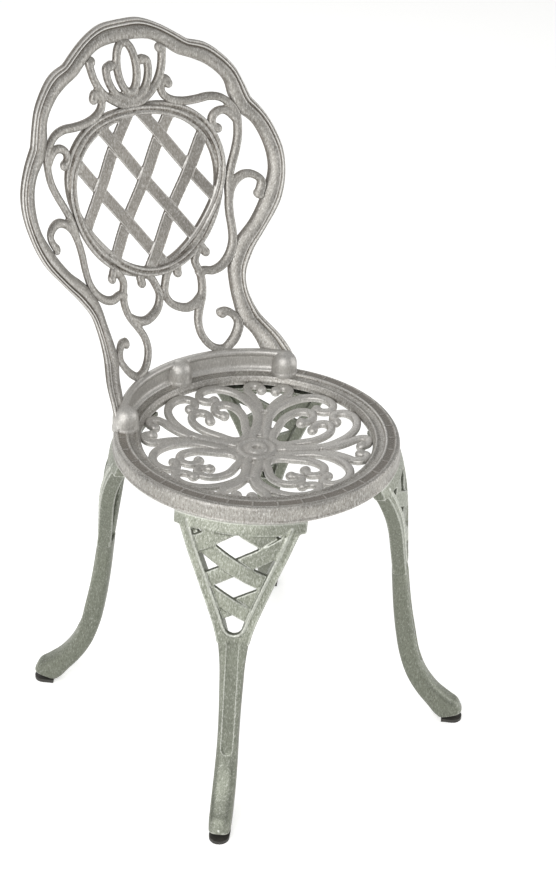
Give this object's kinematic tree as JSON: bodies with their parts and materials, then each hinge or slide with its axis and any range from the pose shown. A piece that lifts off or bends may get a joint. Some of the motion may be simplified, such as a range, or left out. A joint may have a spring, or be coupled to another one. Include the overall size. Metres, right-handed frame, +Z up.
{
  "type": "garden chair",
  "caption": "Cast metal garden side chair with a round pierced seat, a scrolled balloon back with an oval lattice medallion, and splayed pierced legs.",
  "frame": {"origin": "middle of the chair's footprint at floor level", "axes": "+Z up, -Y the way a sitter faces, +X to the sitter's left hand"},
  "size_m": [0.4502, 0.5572, 0.9195],
  "materials": {
    "casting": "silver-grey paint with a warm brown patina in the recesses, worn lighter on the ridges",
    "leg_casting": "silver-grey paint with a greenish grey patina, worn lighter on the ridges",
    "glide": "matt dark moulded plastic",
    "fastener": "dull zinc plate"
  },
  "bodies": {
    "root": {"seat_casting": "casting", "back_casting": "casting", "leg_front_left": "leg_casting", "leg_front_right": "leg_casting", "leg_rear_left": "leg_casting", "leg_rear_right": "leg_casting", "foot_glide_front_left": "glide", "foot_glide_front_right": "glide", "foot_glide_rear_left": "glide", "foot_glide_rear_right": "glide", "leg_screw_front_left_a": "fastener", "leg_screw_front_left_b": "fastener", "leg_screw_front_right_a": "fastener", "leg_screw_front_right_b": "fastener", "leg_screw_rear_left_a": "fastener", "leg_screw_rear_left_b": "fastener", "leg_screw_rear_right_a": "fastener", "leg_screw_rear_right_b": "fastener", "back_screw_right": "fastener", "back_screw_centre": "fastener", "back_screw_left": "fastener"}
  },
  "joints": []
}
